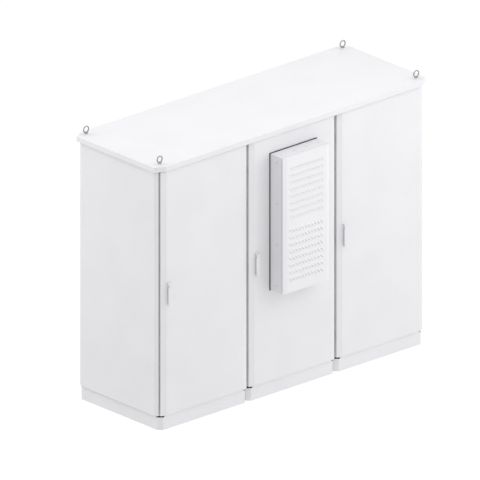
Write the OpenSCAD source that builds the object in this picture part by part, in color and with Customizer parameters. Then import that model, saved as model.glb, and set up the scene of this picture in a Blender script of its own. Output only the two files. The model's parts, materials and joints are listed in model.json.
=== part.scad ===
/* [Row of bays] */
// Number of bays that stand side by side
bay_count = 3; // [1:1:4]
// Width of one bay
bay_width = 800; // [700:10:1000]
// Depth of the welded frame, front face to rear face
frame_depth = 760; // [700:2:900]
// Height of the welded frame
frame_height = 1778; // [1500:2:2000]
// Sealing gap between two neighbouring frames
bay_gap = 2; // [1:0.5:5]
// Outer side of the square frame tube
tube_side = 50; // [40:1:60]
// Wall of the square frame tube
tube_wall = 2; // [1.5:0.5:4]

/* [Plinth] */
// Height of the plinth
plinth_height = 100; // [80:5:200]
// Wall of the plinth ring
plinth_wall = 3; // [2:0.5:5]
// Width of the plinth's inward foot flange
plinth_flange = 50; // [40:1:70]
// How far the plinth's front stands in front of the frame
plinth_forward = 29; // [22:1:32]
// Corner cut of the plinth along the front
plinth_cut_x = 28; // [20:1:36]
// Corner cut of the plinth along the side
plinth_cut_y = 28; // [20:1:36]
// Radius of the anchor holes in the foot flange
anchor_hole_r = 7; // [5:0.5:9]
// Distance of an anchor hole from the plinth's outer faces
anchor_inset = 28; // [24:1:32]

/* [Doors and panels] */
// Sheet thickness of doors, panels and roof
sheet = 2; // [1.5:0.5:3]
// Gap between two neighbouring doors
door_gap = 20; // [14:1:26]
// Distance from the frame's front to the door's flat face
door_stand = 41; // [41:1:48]
// Run of the slanted long edges, along the door
bevel_run = 40; // [30:1:55]
// Drop of the slanted long edges, towards the frame
bevel_drop = 14; // [10:1:16]
// Depth of the folded rim behind the slanted edge
rim_depth = 18; // [14:1:18]
// Gap between the plinth and the lower edge of doors and panels
bottom_gap = 4; // [3:0.5:8]
// Gap between the roof's fascia and the upper edge of the doors
top_gap = 5; // [5:0.5:8]
// Width of the folded seal carrier inside a door
carrier_width = 20; // [16:1:26]
// Depth of the seal carrier inside a door
carrier_depth = 17; // [12:1:20]
// Distance from the door's outline to the seal carrier
carrier_inset = 44; // [42:1:50]
// Width of the foam seal
seal_width = 12; // [8:1:14]
// Gap that the closed seal keeps from the frame's lip
seal_gap = 1; // [0.5:0.1:2]
// Height of the rain lip on the frame
lip_height = 8; // [6:0.5:10]
// Lap of the rain lip's flange over the frame tubes
lip_lap = 12; // [8:1:16]
// How far a side panel stands out from the frame
side_stand = 17; // [12:1:20]
// Run of a side panel's slanted edge, along the side
side_bevel_run = 26; // [20:1:36]
// Distance from the door's face back to a side panel's front edge
side_setback = 26; // [22:1:30]

/* [Hinges] */
// Number of hinges on each door
hinge_count = 3; // [2:1:4]
// Distance of the outer hinges from the door's ends
hinge_inset = 180; // [150:5:300]
// Radius of the hinge pin
pin_r = 4; // [3:0.5:4.5]
// Radial play between pin and knuckle
pin_play = 0.05; // [0.02:0.01:0.1]
// Height of one hinge leaf
leaf_height = 40; // [30:1:60]
// Distance of the hinge axis from the door's right edge
axis_inset = 10; // [9:0.5:10.5]
// Depth of the hinge axis behind the door's flat face
axis_depth = 21; // [20:0.5:21.5]
// Metal beside the pin on brackets and knuckles
pin_wall = 1; // [1:0.5:2]
// Gap between a bracket and the knuckle above it
leaf_gap = 1; // [0.5:0.1:2]
// Clearance of the windows in the door's rim round the brackets
window_clear = 5; // [5:0.5:8]

/* [Handles] */
// Height of the handle
handle_height = 160; // [130:1:200]
// Width of the handle
handle_width = 30; // [26:1:36]
// Thickness of the handle's back plate
plate_thick = 4; // [3:0.5:6]
// Thickness of the lever
lever_thick = 12; // [10:0.5:16]
// Height of the lever's bearing at the handle's upper end
head_height = 26; // [22:1:34]
// Thickness of the bearing's cheeks
cheek = 5; // [4:0.5:6]
// Side play of the lever between the cheeks
cheek_play = 1; // [0.5:0.1:2]
// Clearance between lever and back plate
lever_clear = 5; // [5:0.5:8]
// Distance of the handle's centre from the door's left edge
handle_inset = 58; // [56:1:80]

/* [Roof] */
// Overhang of the roof beyond the side panels
roof_side_over = 22; // [15:1:40]
// Overhang of the roof beyond the door faces
roof_front_over = 10; // [10:1:30]
// Height of the roof's fascia
fascia_height = 37; // [30:1:50]
// Corner cut of the roof along the front
roof_cut_x = 77; // [60:1:80]
// Corner cut of the roof along the side
roof_cut_y = 43; // [40:1:60]
// Distance of the lifting eyes from the roof's side edges
eye_inset_x = 70; // [64:1:80]
// Distance of the lifting eyes from the roof's front and rear edges
eye_inset_y = 61; // [50:1:70]
// Height of the pad under a lifting eye
eye_pad = 10; // [6:0.5:14]
// Radius of the lifting eye's threaded shank
eye_shank_r = 6; // [5:0.5:8]
// Wall of the post that takes the shank
post_wall = 6; // [4:0.5:8]
// Inner radius of a lifting eye
eye_inner_r = 18; // [14:0.5:20]
// Thickness of the lifting eye's ring
eye_wire = 9; // [8:0.5:12]
// Height of the lifting eye's collar
eye_collar = 7; // [5:0.5:7.5]
// Radius of the lifting eye's collar
eye_collar_r = 13; // [10:0.5:15]
// Radial play of the lifting eye's shank in its post
eye_play = 0.05; // [0.02:0.01:0.1]

/* [Cooling unit] */
// Width of the cooling unit
ac_width = 420; // [380:2:440]
// Height of the cooling unit
ac_height = 986; // [900:2:1100]
// Distance of the cooling unit's top below the door's upper edge
ac_drop = 119; // [100:1:200]
// Thickness of the gasket between cooling unit and door
ac_gasket = 5; // [4:0.5:10]
// How far the gasket stands out round the cooling unit
ac_gasket_over = 5; // [2:0.5:8]
// Depth of the cooling unit's body
ac_body_depth = 109; // [80:1:160]
// Height of the straight rim of the cooling unit's cover
ac_rim = 14; // [8:0.5:18]
// Width of the groove between cooling body and cover
ac_seam = 3; // [2:0.5:5]
// Depth of the groove between cooling body and cover
ac_groove = 6; // [4:0.5:10]
// Run of the cover's slanted long edges
ac_bevel_run = 29; // [24:1:36]
// Drop of the cover's slanted long edges
ac_bevel_drop = 7; // [6:1:12]
// Depth of the cooling unit's case inside the door
ac_inner_depth = 90; // [60:1:120]

/* [Cooling grille] */
// Louvres in one row of the grille
louvre_count = 11; // [8:1:12]
// Distance between neighbouring louvres in a row
louvre_pitch = 28.3; // [27:0.1:29]
// Rows in each of the two groups
louvre_rows = 8; // [4:1:8]
// Distance between neighbouring rows
row_pitch = 50.4; // [46:0.1:51]
// Sheet thickness of the hoods
louvre_skin = 1.2; // [1:0.1:2]
// Slope of the louvres against the row
louvre_turn = 45; // [40:1:50]
// Length of a louvre's mouth
louvre_length = 42; // [30:1:42]
// Depth of a louvre's hood, across its mouth
louvre_depth = 16; // [12:0.5:17]
// Bow of the mouths in the upper group
upper_bow = 8; // [6:0.5:9]
// Rise of the upper group's hoods
upper_rise = 4; // [3:0.5:6]
// Rise of the lower group's hoods
lower_rise = 3.5; // [3:0.5:6]
// Sideways offset between the two groups
group_shift = 9; // [0:1:12]
// Height of the upper group's lowest row above the cover's middle
group_gap = 49; // [45:1:60]

/* [Hidden] */
$fn = 48;
cut = 1;
row_width = bay_count * bay_width;
frame_base = plinth_height;
frame_top = frame_base + frame_height;
frame_front = -frame_depth / 2;
door_face = frame_front - door_stand;
side_x = (row_width - bay_gap) / 2 + side_stand;
door_width = bay_width - door_gap;
door_bottom = frame_base + bottom_gap;
fascia_bottom = frame_top + sheet;
roof_top = fascia_bottom + fascia_height;
door_top = fascia_bottom - top_gap;
door_height = door_top - door_bottom;
rim_end = door_face + bevel_drop + rim_depth;
axis_y = door_face + axis_depth;
handle_depth = plate_thick + lever_clear + lever_thick;
pivot_out = handle_depth - lever_thick / 2;
pivot_rise = (handle_height - head_height) / 2;
lip_width = door_width - 2 * carrier_inset - carrier_width + sheet;
lip_length = door_height - 2 * carrier_inset - carrier_width + sheet;
roof_x = side_x + roof_side_over;
roof_y = -door_face + roof_front_over;
ac_back = door_face - ac_gasket;
ac_seam_y = ac_back - ac_body_depth;
ac_rim_y = ac_seam_y - ac_seam;
ac_front = ac_rim_y - ac_rim - ac_bevel_drop;
ac_reach = ac_front - max(upper_rise, lower_rise);
ac_base = door_top - ac_drop - ac_height;
ac_middle = ac_base + ac_height / 2;
cooled_bay = ceil(bay_count / 2);
centre_y = (roof_y + ac_reach) / 2;
paint = [0.93, 0.93, 0.94];

function bay_x(i) = (i - (bay_count + 1) / 2) * bay_width;

// Puts the origin under the middle of the whole outline
module stand() {
    translate([0, -centre_y, 0]) children();
}

// Rectangle centred on the origin with all four corners cut
module cut_rectangle(width, depth, cut_x, cut_y) {
    x = width / 2;
    y = depth / 2;
    polygon([
        [-x + cut_x, -y], [x - cut_x, -y], [x, -y + cut_y], [x, y - cut_y],
        [x - cut_x, y], [-x + cut_x, y], [-x, y - cut_y], [-x, -y + cut_y]
    ]);
}

// Places children in the four corners of a rectangle
module corners(x, y) {
    for (sx = [-1, 1], sy = [-1, 1]) translate([sx * x, sy * y, 0]) children();
}

// Open ring that carries one bay, with a foot flange and anchor holes
module plinth(i) {
    width = bay_width - bay_gap;
    depth = frame_depth + 2 * plinth_forward;
    color([0.90, 0.90, 0.91]) stand() translate([bay_x(i), 0, 0]) difference() {
        linear_extrude(plinth_height)
            cut_rectangle(width, depth, plinth_cut_x, plinth_cut_y);
        translate([0, 0, plinth_wall])
            linear_extrude(plinth_height)
                cut_rectangle(width - 2 * plinth_wall, depth - 2 * plinth_wall,
                              plinth_cut_x - plinth_wall / 2, plinth_cut_y - plinth_wall / 2);
        translate([0, 0, -cut])
            linear_extrude(plinth_height)
                square([width - 2 * plinth_flange, depth - 2 * plinth_flange], center = true);
        corners(width / 2 - plinth_cut_x - anchor_inset, depth / 2 - anchor_inset)
            translate([0, 0, -cut])
                cylinder(h = plinth_wall + 2 * cut, r = anchor_hole_r);
    }
}

// Square tube of the given length along Z
module tube(length) {
    linear_extrude(length) difference() {
        square(tube_side, center = true);
        square(tube_side - 2 * tube_wall, center = true);
    }
}

// Welded frame of one bay
module frame(i) {
    width = bay_width - bay_gap;
    x = (width - tube_side) / 2;
    y = (frame_depth - tube_side) / 2;
    z = tube_side / 2;
    inner_x = width - 2 * tube_side;
    inner_y = frame_depth - 2 * tube_side;
    color([0.80, 0.80, 0.82]) stand() translate([bay_x(i), 0, frame_base]) {
        corners(x, y) tube(frame_height);
        for (level = [z, frame_height - z]) {
            for (sy = [-1, 1])
                translate([-inner_x / 2, sy * y, level]) rotate([0, 90, 0]) tube(inner_x);
            for (sx = [-1, 1])
                translate([sx * x, -inner_y / 2, level]) rotate([-90, 0, 0]) tube(inner_y);
        }
    }
}

// Flat ring between two upright rectangles, standing out from the frame's front
module front_ring(width, height, thick) {
    linear_extrude(thick) difference() {
        square([width, height], center = true);
        square([lip_width - 2 * sheet, lip_length - 2 * sheet], center = true);
    }
}

// Folded rain lip round the door opening of one bay, lapped over the frame's tubes
module rain_lip(i) {
    flange_w = bay_width - bay_gap - 2 * (tube_side - lip_lap);
    flange_h = frame_height - 2 * (tube_side - lip_lap);
    color([0.80, 0.80, 0.82]) stand()
        translate([bay_x(i), frame_front, door_bottom + door_height / 2]) rotate([90, 0, 0]) {
            front_ring(flange_w, flange_h, sheet);
            front_ring(lip_width, lip_length, lip_height);
        }
}

// Floor sheet of one bay, resting on the lower rails between the posts
module floor_plate(i) {
    width = bay_width - bay_gap;
    color([0.78, 0.78, 0.79]) stand()
        translate([bay_x(i), 0, frame_base + tube_side])
            linear_extrude(sheet) union() {
                square([width - 2 * tube_side, frame_depth], center = true);
                square([width, frame_depth - 2 * tube_side], center = true);
            }
}

// Cross-section of a leaf: flat face, two slanted long edges and folded rims
module leaf_section(width, rim) {
    x = width / 2;
    drop = bevel_drop;
    difference() {
        polygon([
            [-x + bevel_run, 0], [x - bevel_run, 0], [x, drop],
            [x, drop + rim], [-x, drop + rim], [-x, drop]
        ]);
        polygon([
            [-x + bevel_run, sheet], [x - bevel_run, sheet], [x - sheet, drop + sheet],
            [x - sheet, drop + rim + cut], [-x + sheet, drop + rim + cut], [-x + sheet, drop + sheet]
        ]);
    }
}

// Outline of the space behind a leaf, filled to the rim
module leaf_fill(width, rim) {
    x = width / 2;
    polygon([
        [-x + bevel_run, 0], [x - bevel_run, 0], [x, bevel_drop],
        [x, bevel_drop + rim], [-x, bevel_drop + rim], [-x, bevel_drop]
    ]);
}

// Folded sheet leaf that stands up from its lower edge, face towards -Y
module leaf(width, height, rim) {
    linear_extrude(height) leaf_section(width, rim);
    for (z = [0, height - sheet])
        translate([0, 0, z]) linear_extrude(sheet) leaf_fill(width, rim);
}

// Ring in the door's plane, from the given depth towards the frame
module door_ring(inset, width, thick) {
    w = door_width - 2 * inset;
    h = door_height - 2 * inset;
    translate([0, 0, door_height / 2]) rotate([-90, 0, 0]) linear_extrude(thick) difference() {
        square([w, h], center = true);
        square([w - 2 * width, h - 2 * width], center = true);
    }
}

// Folded angle round the door's inside that carries the seal
module seal_carrier() {
    difference() {
        translate([0, sheet, 0]) door_ring(carrier_inset, carrier_width, carrier_depth);
        translate([0, sheet - cut, 0])
            door_ring(carrier_inset + sheet, carrier_width, carrier_depth - sheet + cut);
    }
}

function hinge_z(k) = hinge_inset + (k - 1) * (door_height - 2 * hinge_inset) / (hinge_count - 1);

// Door leaf with its seal carrier, hinge windows and, on the cooled bay, the cooling cut-out
module door(i) {
    window = leaf_height + 2 * window_clear;
    inner_w = ac_width - 2 * (ac_bevel_run + sheet);
    color(paint) stand() translate([bay_x(i), door_face, door_bottom]) difference() {
        union() {
            leaf(door_width, door_height, rim_depth);
            seal_carrier();
        }
        for (k = [1 : hinge_count])
            translate([door_width / 2 - sheet - cut, bevel_drop + sheet, hinge_z(k) - leaf_height - window_clear])
                cube([sheet + 2 * cut, rim_depth, window]);
        if (i == cooled_bay)
            translate([0, 0, ac_middle - door_bottom])
                cube([inner_w + 2 * sheet, 2 * door_stand, ac_height - 4 * ac_bevel_run], center = true);
    }
}

// Foam seal on the door's carrier
module door_seal(i) {
    reach = -door_face - (sheet + carrier_depth) + frame_front - lip_height - seal_gap;
    side = (carrier_width - seal_width) / 2;
    color([0.15, 0.15, 0.16]) stand()
        translate([bay_x(i), door_face + sheet + carrier_depth, door_bottom])
            door_ring(carrier_inset + side, seal_width, reach);
}

// Screwed panel that closes the rear of one bay, with the door's own outline
module rear_panel(i) {
    color(paint) stand()
        translate([bay_x(i), -door_face, door_bottom]) rotate([0, 0, 180])
            leaf(door_width, door_height, door_stand - bevel_drop);
}

// Places children at the hinge axis of a bay, at each hinge's height
module at_hinges(i) {
    for (k = [1 : hinge_count])
        translate([bay_x(i) + door_width / 2 - axis_inset, axis_y, door_bottom + hinge_z(k)])
            children();
}

// Brackets on the frame, each with an upright pin
module hinge_bracket(i) {
    color([0.55, 0.56, 0.58]) stand() at_hinges(i) {
        translate([-axis_inset + sheet, -pin_r - pin_wall, -leaf_height])
            cube([axis_inset, frame_front - axis_y + pin_r + pin_wall, leaf_height - leaf_gap]);
        translate([0, 0, -leaf_gap - cut]) cylinder(h = leaf_height - leaf_gap, r = pin_r);
    }
}

// Knuckles inside the door's slanted edge, bored for the pins
module hinge_knuckle(i) {
    slope = bevel_drop / bevel_run;
    skin = door_face + bevel_drop + sheet - axis_y;
    right = axis_inset - sheet;
    left = -2 * axis_inset;
    color([0.55, 0.56, 0.58]) stand() at_hinges(i)
        linear_extrude(leaf_height) difference() {
            polygon([
                [left, skin - slope * (right - left)], [right, skin],
                [right, pin_r + pin_wall], [left, pin_r + pin_wall]
            ]);
            circle(r = pin_r + pin_play);
        }
}

// Places children at a handle's centre on the door's face, with +Z out of the door
module at_handle(i) {
    stand()
        translate([bay_x(i) - door_width / 2 + handle_inset, door_face, door_bottom + door_height / 2])
            rotate([90, 0, 0]) children();
}

// Handle base: back plate with two cheeks that carry the lever's pin
module handle_base(i) {
    color([0.86, 0.86, 0.87]) at_handle(i) difference() {
        union() {
            linear_extrude(plate_thick) square([handle_width, handle_height], center = true);
            for (side = [-1, 1])
                translate([side * (handle_width - cheek) / 2, (handle_height - head_height) / 2, 0])
                    linear_extrude(handle_depth) square([cheek, head_height], center = true);
        }
        translate([0, pivot_rise, pivot_out]) rotate([0, 90, 0])
            cylinder(h = handle_width + 2 * cut, r = pin_r + pin_play, center = true);
    }
}

// Lever that folds out about the pin at its upper end
module handle_lever(i) {
    grip = handle_height / 2 + pivot_rise - cheek_play;
    neck = handle_width - 2 * (cheek + cheek_play);
    color([0.88, 0.88, 0.89]) at_handle(i) translate([0, pivot_rise, pivot_out]) {
        rotate([0, 90, 0]) cylinder(h = handle_width, r = pin_r, center = true);
        rotate([0, 90, 0]) cylinder(h = neck, r = lever_thick / 2, center = true);
        translate([-neck / 2, -grip, -lever_thick / 2]) cube([neck, grip, lever_thick]);
        translate([-handle_width / 2, -grip, -lever_thick / 2])
            cube([handle_width, grip - head_height / 2 - lever_thick / 2, lever_thick]);
    }
}

// Side panel, a folded sheet with slanted upright edges; side is -1 left or 1 right
module side_panel(side) {
    y = -door_face - side_setback;
    x = side_x;
    web = side_stand - sheet;
    color(paint) stand() translate([0, 0, door_bottom]) linear_extrude(fascia_bottom - door_bottom)
        mirror([(1 - side) / 2, 0]) {
            for (rib = [-1, 1])
                translate([x - sheet - web / 2, rib * (frame_depth - tube_side) / 2])
                    square([web, sheet], center = true);
            difference() {
                polygon([
                    [x, -y + side_bevel_run], [x, y - side_bevel_run], [x - web, y],
                    [x - side_stand, y], [x - side_stand, -y], [x - web, -y]
                ]);
                polygon([
                    [x - sheet, -y + side_bevel_run], [x - sheet, y - side_bevel_run],
                    [x - web, y - sheet], [x - side_stand - cut, y - sheet],
                    [x - side_stand - cut, -y + sheet], [x - web, -y + sheet]
                ]);
            }
        }
}

// Inner roof sheet that closes all frames
module top_plate() {
    color([0.80, 0.80, 0.82]) stand() translate([0, 0, frame_top])
        linear_extrude(sheet) square([row_width - bay_gap, frame_depth], center = true);
}

// Rain roof: a folded tray with cut corners, on four bored posts that end in pads for the lifting eyes
module roof() {
    depth = 2 * roof_y;
    width = 2 * roof_x;
    color([0.97, 0.97, 0.98]) stand() translate([0, 0, fascia_bottom]) difference() {
        union() {
            difference() {
                linear_extrude(fascia_height) cut_rectangle(width, depth, roof_cut_x, roof_cut_y);
                translate([0, 0, -sheet]) linear_extrude(fascia_height)
                    cut_rectangle(width - 2 * sheet, depth - 2 * sheet,
                                  roof_cut_x - sheet / 2, roof_cut_y - sheet / 2);
            }
            corners(roof_x - eye_inset_x, roof_y - eye_inset_y)
                cylinder(h = fascia_height + eye_pad, r = eye_shank_r + post_wall);
        }
        corners(roof_x - eye_inset_x, roof_y - eye_inset_y)
            translate([0, 0, sheet]) cylinder(h = fascia_height + eye_pad, r = eye_shank_r + eye_play);
    }
}

// Lifting eye: ring, collar and a short shank
module lifting_eye(n) {
    sx = n % 2 == 1 ? -1 : 1;
    sy = n <= 2 ? -1 : 1;
    ring_r = eye_inner_r + eye_wire / 2;
    foot_z = roof_top + eye_pad;
    ring_z = foot_z + eye_inner_r + eye_wire;
    color([0.45, 0.46, 0.48]) stand()
        translate([sx * (roof_x - eye_inset_x), sy * (roof_y - eye_inset_y), 0]) {
            difference() {
                union() {
                    translate([0, 0, ring_z]) rotate([90, 0, 0])
                        rotate_extrude() translate([ring_r, 0]) circle(d = eye_wire);
                    translate([0, 0, foot_z]) cylinder(h = eye_collar, r = eye_collar_r);
                }
                translate([0, 0, ring_z]) rotate([90, 0, 0])
                    cylinder(h = 4 * eye_inner_r, r = eye_inner_r, center = true);
            }
            translate([0, 0, foot_z - fascia_height]) cylinder(h = fascia_height + cut, r = eye_shank_r);
        }
}

// Places children in front of the cooled door, at the cooling unit's lower edge
module at_ac() {
    stand() translate([bay_x(cooled_bay), 0, ac_base]) children();
}

// Gasket frame between the cooling unit and the door
module ac_gasket_frame() {
    color([0.08, 0.08, 0.09]) at_ac() translate([0, door_face, ac_height / 2]) rotate([90, 0, 0])
        linear_extrude(ac_gasket) difference() {
            square([ac_width + 2 * ac_gasket_over, ac_height + 2 * ac_gasket_over], center = true);
            square([ac_width - 2 * ac_bevel_run, ac_height - 2 * ac_bevel_run], center = true);
        }
}

// Upright block of the cooling unit, inset all round, from one depth to another
module ac_block(inset, y_from, y_to) {
    translate([-ac_width / 2 + inset, y_to, inset])
        cube([ac_width - 2 * inset, y_from - y_to, ac_height - 2 * inset]);
}

// Folded body of the cooling unit, open under its cover, with a groove and a flange for the cover
module ac_body() {
    color([0.80, 0.80, 0.81]) at_ac() difference() {
        union() {
            ac_block(0, ac_back, ac_seam_y);
            ac_block(ac_groove, ac_seam_y, ac_rim_y);
            ac_block(sheet, ac_rim_y, ac_rim_y - sheet);
        }
        ac_block(sheet, ac_back - sheet, ac_seam_y + sheet);
        ac_block(ac_groove + sheet, ac_back - sheet, ac_front);
    }
}

// Places children at each louvre of a group; side is 1 for the upper group or -1 for the lower
module at_louvres(side) {
    for (row = [0 : louvre_rows - 1], column = [0 : louvre_count - 1])
        translate([
            side * group_shift / 2 + (column - (louvre_count - 1) / 2) * louvre_pitch,
            -ac_rim - ac_bevel_drop,
            ac_height / 2 + side * (group_gap + row * row_pitch)
        ])
            rotate([90, 0, 0]) rotate(-louvre_turn + 90 * (1 + side)) children();
}

// Outline of a louvre: its mouth lies along X, bowed towards -Y
module louvre_outline(bow, over, reach) {
    half = louvre_length / 2;
    intersection() {
        translate([-half, -over]) square([louvre_length, reach + over]);
        if (bow > 0) {
            mouth_r = (half * half + bow * bow) / (2 * bow);
            translate([0, mouth_r]) circle(r = mouth_r + over);
        } else {
            translate([-half, -over]) square([louvre_length, reach + over]);
        }
    }
}

// Space under a louvre's hood: a tilted cylinder that dives into the sheet behind the mouth
module hood(rise, bow, skin, floor_z) {
    tilt = atan(rise / louvre_depth);
    crown = rise * (1 - bow / louvre_depth) * cos(tilt);
    half = louvre_length / 2;
    radius = (half * half + crown * crown) / (2 * crown);
    intersection() {
        translate([0, 0, rise - radius / cos(tilt)]) rotate([-90 - tilt, 0, 0])
            cylinder(h = 4 * louvre_length, r = radius - skin, center = true);
        translate([0, 0, floor_z]) linear_extrude(rise - floor_z)
            louvre_outline(bow, min(skin, cut), louvre_depth);
    }
}

// Hoods of both groups, for a given sheet thickness under their outer surface
module hoods(skin, floor_z) {
    at_louvres(1) hood(upper_rise, upper_bow, skin, floor_z);
    at_louvres(-1) hood(lower_rise, 0, skin, floor_z);
}

// Folded cover with slanted long edges and the hoods of both groups, still closed
module ac_cover_shell() {
    x = ac_width / 2;
    depth = ac_rim + ac_bevel_drop;
    difference() {
        mirror([0, 1, 0]) linear_extrude(ac_height) polygon([
            [-x, 0], [x, 0], [x, ac_rim], [x - ac_bevel_run, depth], [-x + ac_bevel_run, depth], [-x, ac_rim]
        ]);
        translate([0, 0, sheet]) mirror([0, 1, 0]) linear_extrude(ac_height - 2 * sheet) polygon([
            [-x + sheet, -cut], [x - sheet, -cut], [x - sheet, ac_rim - sheet],
            [x - ac_bevel_run, depth - sheet], [-x + ac_bevel_run, depth - sheet], [-x + sheet, ac_rim - sheet]
        ]);
    }
    hoods(0, -sheet / 2);
}

// Cover of the cooling unit: bowed louvres that blow upwards, straight ones that draw in from below
module ac_cover() {
    color(paint) at_ac() translate([0, ac_rim_y, 0]) difference() {
        ac_cover_shell();
        hoods(louvre_skin, -sheet - cut);
    }
}

// Case of the cooling unit inside the door
module ac_inner_case() {
    inner_w = ac_width - 2 * (ac_bevel_run + sheet);
    inner_h = ac_height - 4 * ac_bevel_run - 2 * sheet;
    color([0.75, 0.75, 0.76]) at_ac() translate([-inner_w / 2, ac_back, (ac_height - inner_h) / 2])
        difference() {
            cube([inner_w, ac_inner_depth + ac_gasket, inner_h]);
            translate([sheet, -cut, sheet])
                cube([inner_w - 2 * sheet, ac_inner_depth + ac_gasket - sheet + cut, inner_h - 2 * sheet]);
        }
}

for (i = [1 : bay_count]) {
    plinth(i);
    frame(i);
    rain_lip(i);
    floor_plate(i);
    rear_panel(i);
    door(i);
    door_seal(i);
    hinge_bracket(i);
    hinge_knuckle(i);
    handle_base(i);
    handle_lever(i);
}
for (i = [1 : 4]) {
    lifting_eye(i);
}
side_panel(-1);  // side_panel_left
side_panel(1);  // side_panel_right
top_plate();
roof();
ac_gasket_frame();  // ac_gasket
ac_body();
ac_cover();
ac_inner_case();
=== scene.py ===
"""Looks of an outdoor control cabinet with three bays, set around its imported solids. Metres, +Z up."""

import json
import math

import bmesh
import bpy
from mathutils import Matrix, Vector


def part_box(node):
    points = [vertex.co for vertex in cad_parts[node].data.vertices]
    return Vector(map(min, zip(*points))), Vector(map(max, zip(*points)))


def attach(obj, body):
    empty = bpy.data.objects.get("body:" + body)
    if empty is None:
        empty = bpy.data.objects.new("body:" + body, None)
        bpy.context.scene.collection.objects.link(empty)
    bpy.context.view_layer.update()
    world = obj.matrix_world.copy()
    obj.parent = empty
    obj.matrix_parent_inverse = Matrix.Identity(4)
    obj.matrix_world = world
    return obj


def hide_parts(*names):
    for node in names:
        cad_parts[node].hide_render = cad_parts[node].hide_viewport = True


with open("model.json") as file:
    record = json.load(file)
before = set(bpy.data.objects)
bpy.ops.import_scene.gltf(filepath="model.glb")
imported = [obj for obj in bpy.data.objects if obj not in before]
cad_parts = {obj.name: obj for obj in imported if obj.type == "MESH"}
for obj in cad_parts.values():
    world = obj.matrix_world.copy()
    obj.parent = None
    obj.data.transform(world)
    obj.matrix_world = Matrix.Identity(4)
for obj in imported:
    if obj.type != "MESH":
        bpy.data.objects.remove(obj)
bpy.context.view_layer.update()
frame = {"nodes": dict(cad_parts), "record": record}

# Bays, numbered from the left
BAYS = (1, 2, 3)

# Camera: a parallel view from the front left, above the roof. Azimuths count from the front to the right.
VIEW_AZIMUTH = -42.15
VIEW_ELEVATION = 21.65
VIEW_WIDTH = 3.24
VIEW_TARGET = Vector((-0.1014, 0.066, 0.9756))
VIEW_DISTANCE = 9.0
VIEW_CLIP_END = 60

# White room and white paper floor. The glow gives the floor its brightness, and its own grey hardly counts,
# except under the plinths, where the floor doesn't glow and its near-black grey is painted shade.
WHITE = (1, 1, 1, 1)
ROOM_GLOW = 0.7
FLOOR_GLOW = 1.0
FLOOR_GREY = (0.02, 0.02, 0.02, 1)
FLOOR_REACH = 40
# How far the floor lies under the plinths' feet, and how far inside their outline it stops glowing and
# shows its near-black grey as painted shade
FLOOR_GAP = 0.0005
FLOOR_SHADE_INSET = 0.030

# Soft lights at one distance from a point on the cabinet's axis, all aimed at another such point
LIGHT_SIZE = 4.0
LIGHT_DISTANCE = 6.0
LIGHT_BASE_HEIGHT = 0.9
LIGHT_AIM_HEIGHT = 0.95
# Name, azimuth from the front towards the right, elevation and watts
LIGHTS = (
    ("front", 0, 45, 50),
    ("front_right_high", 40, 50, 28),
    ("front_right_low", 45, 20, 79),
    ("rear_left", -125, 35, 96),
    ("rear_right", 120, 40, 10),
    ("top", 0, 88, 48),
)

# Colour that the cabinet's paint, the plinths' paint and the handles' plastic share
CABINET_COLOUR = (0.722, 0.715, 0.737)
# Stretch of the noise over which a tint goes from its dark to its light tone
TINT_STOPS = (0.35, 0.65)

# Rounding of folded and cut edges, on edges that turn more than the fold angle
PAINT_ROUND = 0.0012
HANDLE_ROUND = 0.0010
LEVER_ROUND = 0.0022
LEVER_SEGMENTS = 3
LEVER_CREASE = math.radians(35)
FOLD_ANGLE = math.radians(25)
# Points closer than this are the same point
WELD = 1e-6

# A face of the roof that points up less than this is one of its upright edges and keeps the cabinet's
# paint; faces that point up more get the roof's lighter paint, which is painted light from above
PAINTED_LIGHT_TOP_SLOPE = 0.5

# Cut-outs in the tops of the plinths' corners, under the slanted door edges. The cutter stands over them.
NOTCH_REACH = 0.034
NOTCH_DROP = 0.009
NOTCH_OVER = 0.005

# Sloping cover over each handle's head: the cheeks beside it, the plate behind it, its drop and its sheet
CHEEK = 0.005
HANDLE_PLATE = 0.004
HEAD_DROP = 0.006
HEAD_SKIN = 0.0018

# Outline of a screw's head from rim to recess: shares of its radius and of how far it stands proud
SCREW_PROFILE = ((1, -0.3), (1, 0.35), (0.93, 0.70), (0.70, 1), (0.42, 1), (0.36, 0.45))
SCREW_SIDES = 24
SCREW_CREASE = math.radians(40)
SCREW_SLOT = "hinge_steel"

# Screws of the cooling unit: the row behind its front seam, and how far the outer ones are from the corners
UNIT_SCREW_RADIUS = 0.0048
UNIT_SCREW_PROUD = 0.0024
UNIT_SCREW_BEHIND_SEAM = 0.048
SIDE_SCREWS = 4
SIDE_SCREW_INSET = 0.046
END_SCREWS = 4
END_SCREW_INSET = 0.042

# Screws of the rear panels
PANEL_SCREW_RADIUS = 0.0060
PANEL_SCREW_PROUD = 0.0030
PANEL_SCREW_INSET = 0.060
PANEL_SCREW_ROWS = 5


# Shader helpers


def set_inputs(node, **values):
    """Sets inputs of a shader node by name, where _ stands for a space."""
    for name, value in values.items():
        node.inputs[name.replace("_", " ")].default_value = value


def new_material(name):
    """A new material and its Principled shader."""
    material = bpy.data.materials.new(name)
    material.use_nodes = True
    return material, material.node_tree.nodes["Principled BSDF"]


def add_node(material, kind, **values):
    """A shader node with some of its inputs set."""
    node = material.node_tree.nodes.new(kind)
    set_inputs(node, **values)
    return node


def link(material, output, target):
    """Joins one node's output to another's input."""
    material.node_tree.links.new(output, target)


def noise(material, scale, detail):
    """Noise in the object's own coordinates, so that it stays put when the piece moves."""
    place = add_node(material, "ShaderNodeTexCoord")
    texture = add_node(material, "ShaderNodeTexNoise", Scale=scale, Detail=detail)
    link(material, place.outputs["Object"], texture.inputs["Vector"])
    return texture.outputs["Fac"]


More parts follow.
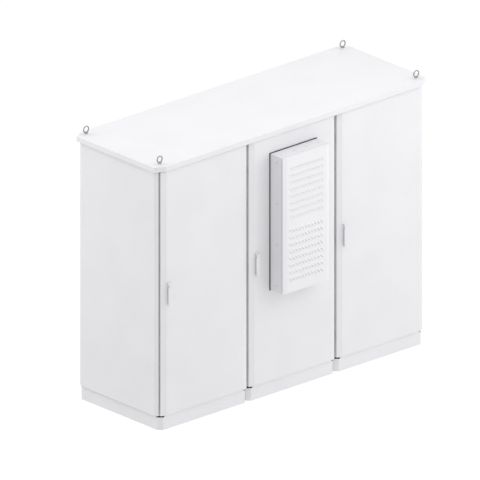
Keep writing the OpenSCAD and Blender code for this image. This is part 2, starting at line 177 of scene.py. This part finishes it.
def tint(material, shader, source, colour, dark, light=1.0):
    """Base colour that wanders between two close tones, given as shares of a colour."""
    ramp = add_node(material, "ShaderNodeValToRGB")
    for stop, position, share in zip(ramp.color_ramp.elements, TINT_STOPS, (dark, light)):
        stop.position = position
        stop.color = (*(min(1.0, share * c) for c in colour), 1)
    link(material, source, ramp.inputs["Fac"])
    link(material, ramp.outputs["Color"], shader.inputs["Base Color"])


def gloss(material, shader, source, roughness, shinier, duller):
    """Roughness that wanders to both sides of a mean."""
    spread = add_node(material, "ShaderNodeMapRange", To_Min=roughness - shinier, To_Max=roughness + duller)
    link(material, source, spread.inputs["Value"])
    link(material, spread.outputs["Result"], shader.inputs["Roughness"])


def bump(material, shader, source, distance, strength):
    """Fine relief on the surface, in metres."""
    relief = add_node(material, "ShaderNodeBump", Distance=distance, Strength=strength)
    link(material, source, relief.inputs["Height"])
    link(material, relief.outputs["Normal"], shader.inputs["Normal"])


# Materials


def powder_coat(name, colour, roughness=0.5, grain=700.0):
    """Powder coat: orange-peel grain, faint cloudiness and uneven gloss."""
    material, shader = new_material(name)
    tint(material, shader, noise(material, scale=3.5, detail=3.0), colour, dark=0.985, light=1.01)
    gloss(material, shader, noise(material, scale=18.0, detail=4.0), roughness, shinier=0.05, duller=0.07)
    bump(material, shader, noise(material, scale=grain, detail=3.0), distance=0.00006, strength=0.5)
    return material


def zinc(name, colour, roughness):
    """Zinc plate: faint spangle and drawn grain."""
    material, shader = new_material(name)
    set_inputs(shader, Metallic=1.0)
    tint(material, shader, noise(material, scale=60.0, detail=4.0), colour, dark=0.9)
    gloss(material, shader, noise(material, scale=120.0, detail=4.0), roughness, shinier=0.08, duller=0.1)
    bump(material, shader, noise(material, scale=900.0, detail=2.0), distance=0.00005, strength=0.4)
    return material


def rubber(name, colour, roughness=0.85):
    """Dull foamed rubber with open pores."""
    material, shader = new_material(name)
    set_inputs(shader, Roughness=roughness)
    tint(material, shader, noise(material, scale=40.0, detail=3.0), colour, dark=0.8)
    bump(material, shader, noise(material, scale=1500.0, detail=3.0), distance=0.0001, strength=0.6)
    return material


def plastic(name, colour, roughness=0.41):
    """Moulded plastic with a fine spark-eroded grain."""
    material, shader = new_material(name)
    tint(material, shader, noise(material, scale=12.0, detail=3.0), colour, dark=0.98)
    gloss(material, shader, noise(material, scale=90.0, detail=3.0), roughness, shinier=0.05, duller=0.05)
    bump(material, shader, noise(material, scale=2200.0, detail=2.0), distance=0.00004, strength=0.5)
    return material


def floor_paper(name, glow):
    """White paper with a glow of its own, as under studio light; with no glow it shows a near-black grey,
    used as painted shade.
    """
    material, shader = new_material(name)
    set_inputs(shader, Base_Color=FLOOR_GREY, Roughness=1.0, Emission_Color=WHITE, Emission_Strength=glow)
    return material


MATERIALS = {
    "cabinet_paint": powder_coat("cabinet_paint", CABINET_COLOUR),
    # Lighter than the cabinet's paint for the roof's top: painted light from above
    "roof_paint": powder_coat("roof_paint", (0.785, 0.779, 0.797)),
    "plinth_paint": powder_coat("plinth_paint", CABINET_COLOUR, grain=600.0),
    "unit_paint": powder_coat("unit_paint", (0.742, 0.735, 0.757), roughness=0.45, grain=800.0),
    "frame_steel": powder_coat("frame_steel", (0.84, 0.84, 0.85), roughness=0.42),
    "inner_sheet": zinc("inner_sheet", (0.80, 0.81, 0.82), roughness=0.48),
    "seal_foam": rubber("seal_foam", (0.38, 0.38, 0.39)),
    "gasket_rubber": rubber("gasket_rubber", (0.018, 0.018, 0.02)),
    "hinge_steel": zinc("hinge_steel", (0.60, 0.61, 0.63), roughness=0.34),
    "eye_steel": zinc("eye_steel", (0.38, 0.38, 0.39), roughness=0.40),
    "handle_plastic": plastic("handle_plastic", CABINET_COLOUR),
}
SLOT_OF = {piece["node"]: piece["material_slot"] for piece in frame["record"]["subparts"]}
BODIES = frame["record"]["behaviour"]["bodies"]
BODY_OF = {node: body for body, nodes in BODIES.items() for node in nodes}


# Mesh helpers


def add_object(name, data):
    """A scene object that shows a mesh, a light or a camera."""
    item = bpy.data.objects.new(name, data)
    bpy.context.scene.collection.objects.link(item)
    return item


def to_mesh(name, work):
    """Turns a bmesh into a mesh and frees it."""
    mesh = bpy.data.meshes.new(name)
    work.to_mesh(mesh)
    work.free()
    return mesh


def add_piece(name, work, material_slot, body):
    """Turns a bmesh into a piece that rides on a body, with its material and slot."""
    piece = add_object(name, to_mesh(name, work))
    piece.data.materials.append(MATERIALS[material_slot])
    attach(piece, body)
    return piece


def smooth(piece, crease):
    """Smooth shading across edges that turn less than the crease angle."""
    piece.data.shade_smooth()
    work = bmesh.new()
    work.from_mesh(piece.data)
    for edge in work.edges:
        if len(edge.link_faces) == 2:
            edge.smooth = edge.calc_face_angle(0.0) < crease
    work.to_mesh(piece.data)
    work.free()


def cut_away(piece, cutter):
    """A modifier that cuts a closed mesh out of a piece."""
    cut = piece.modifiers.new("cut", "BOOLEAN")
    cut.solver = "EXACT"
    cut.object = cutter


def round_edges(piece, width, segments):
    """A modifier that rounds a piece's folds and cut edges."""
    bevel = piece.modifiers.new("round", "BEVEL")
    bevel.width = width
    bevel.segments = segments
    bevel.limit_method = "ANGLE"
    bevel.angle_limit = FOLD_ANGLE
    bevel.use_clamp_overlap = True


def apply_modifiers(piece):
    """Bakes a piece's modifiers into its mesh."""
    graph = bpy.context.evaluated_depsgraph_get()
    baked = bpy.data.meshes.new_from_object(piece.evaluated_get(graph))
    piece.modifiers.clear()
    piece.data = baked


def rounded_copy(node, width, segments=2, crease=0.0, shape=None, cutter=None):
    """A copy of a CAD node with rounded edges, shown in its place.

    shape changes the copy's mesh before the rounding. cutter is an object that is cut out of the
    copy and then deleted. Edges that turn less than crease are shaded smooth."""
    work = bmesh.new()
    work.from_mesh(frame["nodes"][node].data)
    bmesh.ops.remove_doubles(work, verts=work.verts, dist=WELD)
    if shape:
        shape(work)
    piece = add_piece(node + "_skin", work, SLOT_OF[node], BODY_OF[node])
    if cutter:
        cut_away(piece, cutter)
    round_edges(piece, width, segments)
    apply_modifiers(piece)
    if cutter:
        # This deletes the object along with its mesh
        bpy.data.meshes.remove(cutter.data)
    piece.data.materials.clear()
    piece.data.materials.append(MATERIALS[SLOT_OF[node]])
    smooth(piece, crease)
    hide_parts(node)
    return piece


def add_box(work, low, high):
    """A closed box between two corners."""
    scale = Matrix.Diagonal((*(high - low), 1))
    bmesh.ops.create_cube(work, size=1, matrix=Matrix.Translation((low + high) / 2) @ scale)


def add_tube(work, rings):
    """Walls between rings of points, and a cap on each end."""
    for lower, upper in zip(rings, rings[1:]):
        for corners in zip(lower, lower[1:] + lower[:1], upper[1:] + upper[:1], upper):
            work.faces.new(corners)
    work.faces.new(rings[-1])
    work.faces.new(list(reversed(rings[0])))


def add_ring(work, place, radius, height):
    """A ring of points round the Z axis of a place, which is a matrix."""
    ring = []
    for k in range(SCREW_SIDES):
        angle = 2 * math.pi * k / SCREW_SIDES
        point = Vector((radius * math.cos(angle), radius * math.sin(angle), height))
        ring.append(work.verts.new(place @ point))
    return ring


def add_screw(work, point, out, radius, proud):
    """Pan head screw with a round drive recess, standing out of a face along one direction."""
    turn = Vector(out).to_track_quat("Z", "Y").to_matrix().to_4x4()
    place = Matrix.Translation(point) @ turn
    add_tube(work, [add_ring(work, place, r * radius, h * proud) for r, h in SCREW_PROFILE])


def places_between(low, high, inset, count):
    """Evenly spaced places from inset after low to inset before high."""
    step = (high - low - 2 * inset) / (count - 1)
    return [low + inset + k * step for k in range(count)]


# Pieces


def give_cad_nodes_their_materials():
    """Gives each node the material of its slot."""
    for name, node in frame["nodes"].items():
        node.data.materials.clear()
        node.data.materials.append(MATERIALS[SLOT_OF[name]])


def notch_cutter(bay):
    """Boxes at the four top corners of a plinth, which stand over its outer faces."""
    low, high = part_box(f"plinth_{bay}")
    over_side = Vector((NOTCH_OVER, NOTCH_OVER, 0))
    over_top = Vector((NOTCH_OVER, NOTCH_OVER, NOTCH_OVER))
    work = bmesh.new()
    for x in (low.x, high.x - NOTCH_REACH):
        for y in (low.y, high.y - NOTCH_REACH):
            near = Vector((x, y, high.z - NOTCH_DROP))
            far = Vector((x + NOTCH_REACH, y + NOTCH_REACH, high.z))
            add_box(work, near - over_side, far + over_top)
    return add_object("cutter", to_mesh("cutter", work))


def head_shape(bay):
    """Slopes the tops of a handle's cheeks and closes the gap between them with a cover."""
    low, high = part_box(f"handle_base_{bay}")
    back = high.y - HANDLE_PLATE
    profile = (
        (back, high.z),
        (low.y, high.z - HEAD_DROP),
        (low.y, high.z - HEAD_DROP - HEAD_SKIN),
        (back, high.z - HEAD_SKIN),
    )

    def shape(work):
        for vert in work.verts:
            if high.z - vert.co.z < WELD and vert.co.y - low.y < WELD:
                vert.co.z -= HEAD_DROP
        left = [work.verts.new((low.x + CHEEK, y, z)) for y, z in profile]
        right = [work.verts.new((high.x - CHEEK, y, z)) for y, z in profile]
        add_tube(work, (right, left))
        bmesh.ops.recalc_face_normals(work, faces=work.faces)

    return shape


def make_bay_skins(bay):
    """The rounded door, rear panel, rain lip, plinth and handle of one bay."""
    for name in ("door", "rear_panel", "rain_lip"):
        rounded_copy(f"{name}_{bay}", PAINT_ROUND)
    rounded_copy(f"plinth_{bay}", PAINT_ROUND, cutter=notch_cutter(bay))
    rounded_copy(f"handle_base_{bay}", HANDLE_ROUND, shape=head_shape(bay))
    rounded_copy(f"handle_lever_{bay}", LEVER_ROUND, segments=LEVER_SEGMENTS, crease=LEVER_CREASE)


def make_side_and_unit_skins():
    """The rounded side panels and the body of the cooling unit."""
    for name in ("side_panel_left", "side_panel_right", "ac_body"):
        rounded_copy(name, PAINT_ROUND)


def make_roof():
    """The roof, with a lighter paint on top that is painted light from above, and the cabinet's paint on
    its upright edges.
    """
    roof = rounded_copy("roof", PAINT_ROUND)
    roof.data.materials.append(MATERIALS["cabinet_paint"])
    # Faces that point up get the lighter painted light, upright edges the cabinet's paint
    for face in roof.data.polygons:
        face.material_index = int(face.normal.z < PAINTED_LIGHT_TOP_SLOPE)


def make_unit_screws():
    """Screws in a row behind the cooling unit's seam, on both sides and both ends."""
    low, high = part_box("ac_body")
    y = low.y + UNIT_SCREW_BEHIND_SEAM
    work = bmesh.new()
    for z in places_between(low.z, high.z, SIDE_SCREW_INSET, SIDE_SCREWS):
        for x, out in ((low.x, -1), (high.x, 1)):
            add_screw(work, (x, y, z), (out, 0, 0), UNIT_SCREW_RADIUS, UNIT_SCREW_PROUD)
    for x in places_between(low.x, high.x, END_SCREW_INSET, END_SCREWS):
        for z, out in ((high.z, 1), (low.z, -1)):
            add_screw(work, (x, y, z), (0, 0, out), UNIT_SCREW_RADIUS, UNIT_SCREW_PROUD)
    piece = add_piece("unit_screws", work, SCREW_SLOT, BODY_OF["ac_body"])
    smooth(piece, SCREW_CREASE)


def make_panel_screws(bay):
    """Screws down both edges of a rear panel."""
    panel = f"rear_panel_{bay}"
    low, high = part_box(panel)
    work = bmesh.new()
    for z in places_between(low.z, high.z, PANEL_SCREW_INSET, PANEL_SCREW_ROWS):
        for x in (low.x + PANEL_SCREW_INSET, high.x - PANEL_SCREW_INSET):
            add_screw(work, (x, high.y, z), (0, 1, 0), PANEL_SCREW_RADIUS, PANEL_SCREW_PROUD)
    piece = add_piece(f"{panel}_screws", work, SCREW_SLOT, BODY_OF[panel])
    smooth(piece, SCREW_CREASE)


# Studio


def direction(azimuth, elevation):
    """Unit vector away from the cabinet, by degrees from the front towards the right and upwards."""
    turn, rise = math.radians(azimuth), math.radians(elevation)
    return Vector((math.sin(turn) * math.cos(rise), -math.cos(turn) * math.cos(rise), math.sin(rise)))


def look_along(item, forward):
    """Turns a light or a camera to look along a direction, with its top up."""
    item.rotation_euler = forward.to_track_quat("-Z", "Y").to_euler()


def make_light(name, azimuth, elevation, watts):
    """A square soft light that looks at the cabinet from one direction."""
    data = bpy.data.lights.new(name, "AREA")
    data.size = LIGHT_SIZE
    data.energy = watts
    light = add_object(name, data)
    light.location = LIGHT_DISTANCE * direction(azimuth, elevation) + Vector((0, 0, LIGHT_BASE_HEIGHT))
    look_along(light, Vector((0, 0, LIGHT_AIM_HEIGHT)) - light.location)


def make_floor():
    """A glowing floor, with a rectangle under the plinths that doesn't glow and stays near-black: painted
    shade under the cabinet.
    """
    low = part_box(f"plinth_{BAYS[0]}")[0]
    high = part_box(f"plinth_{BAYS[-1]}")[1]
    xs = (-FLOOR_REACH, low.x + FLOOR_SHADE_INSET, high.x - FLOOR_SHADE_INSET, FLOOR_REACH)
    ys = (-FLOOR_REACH, low.y + FLOOR_SHADE_INSET, high.y - FLOOR_SHADE_INSET, FLOOR_REACH)
    work = bmesh.new()
    points = [[work.verts.new((x, y, -FLOOR_GAP)) for x in xs] for y in ys]
    for row, (near, far) in enumerate(zip(points, points[1:])):
        for column in range(len(xs) - 1):
            face = work.faces.new((near[column], near[column + 1], far[column + 1], far[column]))
            # The middle cell, under the plinths, takes the near-black material that doesn't glow: painted
            # shade
            is_painted_shade = row == column == 1
            face.material_index = int(is_painted_shade)
    floor = add_object("studio_floor", to_mesh("studio_floor", work))
    floor.data.materials.append(floor_paper("studio_floor", FLOOR_GLOW))
    # Near-black floor under the plinths that doesn't glow: painted shade
    floor.data.materials.append(floor_paper("studio_floor_painted_shade", glow=0.0))


def make_studio():
    """The white room with its floor and lights."""
    world = bpy.data.worlds.new("studio")
    world.use_nodes = True
    set_inputs(world.node_tree.nodes["Background"], Color=WHITE, Strength=ROOM_GLOW)
    bpy.context.scene.world = world
    bpy.context.scene.view_settings.view_transform = "Standard"
    make_floor()
    for light in LIGHTS:
        make_light(*light)


def make_camera():
    """The parallel camera at the photo's angle."""
    data = bpy.data.cameras.new("view")
    data.type = "ORTHO"
    data.ortho_scale = VIEW_WIDTH
    data.clip_end = VIEW_CLIP_END
    camera = add_object("view", data)
    away = direction(VIEW_AZIMUTH, VIEW_ELEVATION)
    camera.location = VIEW_TARGET + VIEW_DISTANCE * away
    look_along(camera, -away)
    bpy.context.scene.camera = camera


make_camera()
make_studio()
give_cad_nodes_their_materials()
for bay in BAYS:
    make_bay_skins(bay)
make_side_and_unit_skins()
make_roof()
make_unit_screws()
for bay in BAYS:
    make_panel_screws(bay)

bpy.context.view_layer.update()
